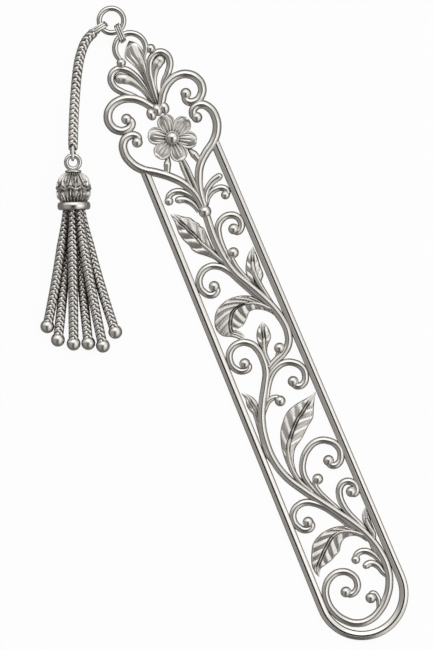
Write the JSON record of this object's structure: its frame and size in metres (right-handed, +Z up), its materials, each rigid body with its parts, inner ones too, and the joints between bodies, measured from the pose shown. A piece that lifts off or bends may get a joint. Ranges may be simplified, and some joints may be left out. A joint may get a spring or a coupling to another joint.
{
  "type": "bookmark",
  "caption": "Openwork antiqued silver bookmark: a round-ended blade filled with a scrolling vine, a flower and palmette head, and a chain tassel hung from its loop.",
  "frame": {"origin": "on the blade's axis, on the flat back, midway across the outer wire of the round end", "axes": "+Y along the blade towards the loop, +Z up out of the table it lies on, +X across"},
  "size_m": [0.0491, 0.1371, 0.0073],
  "materials": {
    "frame_silver": "rubbed bright, dark in the groove",
    "vine_silver": "rubbed bright, oxidised at the sides",
    "leaf_silver": "oxidised, rubbed bright on the ribs",
    "flower_silver": "oxidised, rubbed bright on the petals",
    "bead_silver": "polished",
    "ring_silver": "polished",
    "chain_silver": "oxidised, rubbed bright on the links",
    "cap_silver": "chased, dark in the recesses",
    "strand_silver": "plaited chain, dark in the recesses"
  },
  "bodies": {
    "blade": {"knot_bead": "bead_silver", "crown_collar": "bead_silver", "flower": "flower_silver", "flower_boss": "bead_silver", "left_heart_scroll": "vine_silver", "right_heart_scroll": "vine_silver", "left_crown_scroll": "vine_silver", "right_crown_scroll": "vine_silver", "outer_frame_wire": "frame_silver", "inner_frame_wire": "frame_silver", "upper_stem": "vine_silver", "lower_stem": "vine_silver", "upper_right_scroll": "vine_silver", "left_upper_scroll": "vine_silver", "right_middle_scroll": "vine_silver", "right_lower_scroll": "vine_silver", "left_lower_scroll": "vine_silver", "right_end_scroll": "vine_silver", "upper_bud": "vine_silver", "small_curl": "vine_silver", "middle_hook": "vine_silver", "lower_bud": "vine_silver", "end_hook": "vine_silver", "left_sprig": "vine_silver", "right_sprig": "vine_silver", "end_sprig": "vine_silver", "flower_stem": "vine_silver", "calyx_stubs": "leaf_silver", "left_lobe_loop": "vine_silver", "right_lobe_loop": "vine_silver", "drop_petals": "leaf_silver", "shoulder_beads": "bead_silver", "upper_leaf": "leaf_silver", "right_small_leaf": "leaf_silver", "curled_leaf": "leaf_silver", "small_upright_leaf": "leaf_silver", "narrow_leaf": "leaf_silver", "middle_leaf": "leaf_silver", "end_small_leaf": "leaf_silver", "lower_leaf": "leaf_silver", "palmette_leaf": "leaf_silver", "suspension_loop": "ring_silver"},
    "connector_link": {"connector_link": "ring_silver"},
    "jump_ring": {"jump_ring": "ring_silver"},
    "chain_1": {"chain_1": "chain_silver"},
    "chain_2": {"chain_2": "chain_silver"},
    "chain_3": {"chain_3": "chain_silver"},
    "chain_4": {"chain_4": "chain_silver"},
    "chain_5": {"chain_5": "chain_silver"},
    "chain_6": {"chain_6": "chain_silver"},
    "tassel": {"tassel_eye": "cap_silver", "tassel_cap": "cap_silver", "cap_rim": "cap_silver", "strand_ring": "cap_silver"},
    "strand_1": {"strand_1": "strand_silver"},
    "strand_2": {"strand_2": "strand_silver"},
    "strand_3": {"strand_3": "strand_silver"},
    "strand_4": {"strand_4": "strand_silver"},
    "strand_5": {"strand_5": "strand_silver"},
    "strand_6": {"strand_6": "strand_silver"}
  },
  "joints": [
    {"name": "link_tilt", "type": "hinge", "parent": "blade", "child": "connector_link", "pos_m": [-0.00139, 0.13026, 0.00112], "axis": [-0.9799, -0.1994, 0], "range_deg": [-60, 60]},
    {"name": "ring_swing", "type": "hinge", "parent": "connector_link", "child": "jump_ring", "pos_m": [-0.00163, 0.13144, 0.00112], "axis": [0, 0, 1], "range_deg": [-8, 4]},
    {"name": "chain_pitch_1", "type": "hinge", "parent": "jump_ring", "child": "chain_1", "pos_m": [-0.00455, 0.13358, 0.00112], "axis": [-0.3584, 0.9336, 0], "range_deg": [-25, 15]},
    {"name": "chain_yaw_2", "type": "hinge", "parent": "chain_1", "child": "chain_2", "pos_m": [-0.00805, 0.13224, 0.00112], "axis": [0, 0, 1], "range_deg": [-20, 4]},
    {"name": "chain_pitch_3", "type": "hinge", "parent": "chain_2", "child": "chain_3", "pos_m": [-0.01028, 0.13009, 0.00112], "axis": [-0.8241, 0.5664, 0], "range_deg": [-25, 15]},
    {"name": "chain_yaw_4", "type": "hinge", "parent": "chain_3", "child": "chain_4", "pos_m": [-0.01204, 0.12753, 0.00112], "axis": [0, 0, 1], "range_deg": [-20, 4]},
    {"name": "chain_pitch_5", "type": "hinge", "parent": "chain_4", "child": "chain_5", "pos_m": [-0.01426, 0.12345, 0.00112], "axis": [-0.9011, 0.4337, 0], "range_deg": [-25, 15]},
    {"name": "chain_yaw_6", "type": "hinge", "parent": "chain_5", "child": "chain_6", "pos_m": [-0.0169, 0.11797, 0.00233], "axis": [0, 0, 1], "range_deg": [-20, 4]},
    {"name": "tassel_swing", "type": "hinge", "parent": "chain_6", "child": "tassel", "pos_m": [-0.0196, 0.11181, 0.00366], "axis": [0, 0, 1], "range_deg": [-20, 6]},
    {"name": "strand_flare_1", "type": "hinge", "parent": "tassel", "child": "strand_1", "pos_m": [-0.02516, 0.10283, 0.00366], "axis": [0, 0, -1], "range_deg": [0, 10]},
    {"name": "strand_flare_2", "type": "hinge", "parent": "tassel", "child": "strand_2", "pos_m": [-0.02427, 0.10248, 0.00201], "axis": [0.8063, -0.316, -0.5], "range_deg": [0, 10]},
    {"name": "strand_flare_3", "type": "hinge", "parent": "tassel", "child": "strand_3", "pos_m": [-0.02427, 0.10248, 0.0053], "axis": [-0.8063, 0.316, -0.5], "range_deg": [0, 10]},
    {"name": "strand_flare_4", "type": "hinge", "parent": "tassel", "child": "strand_4", "pos_m": [-0.02251, 0.10179, 0.00201], "axis": [0.8063, -0.316, 0.5], "range_deg": [0, 10]},
    {"name": "strand_flare_5", "type": "hinge", "parent": "tassel", "child": "strand_5", "pos_m": [-0.02251, 0.10179, 0.0053], "axis": [-0.8063, 0.316, 0.5], "range_deg": [0, 10]},
    {"name": "strand_flare_6", "type": "hinge", "parent": "tassel", "child": "strand_6", "pos_m": [-0.02162, 0.10144, 0.00366], "axis": [0, 0, 1], "range_deg": [0, 10]}
  ]
}
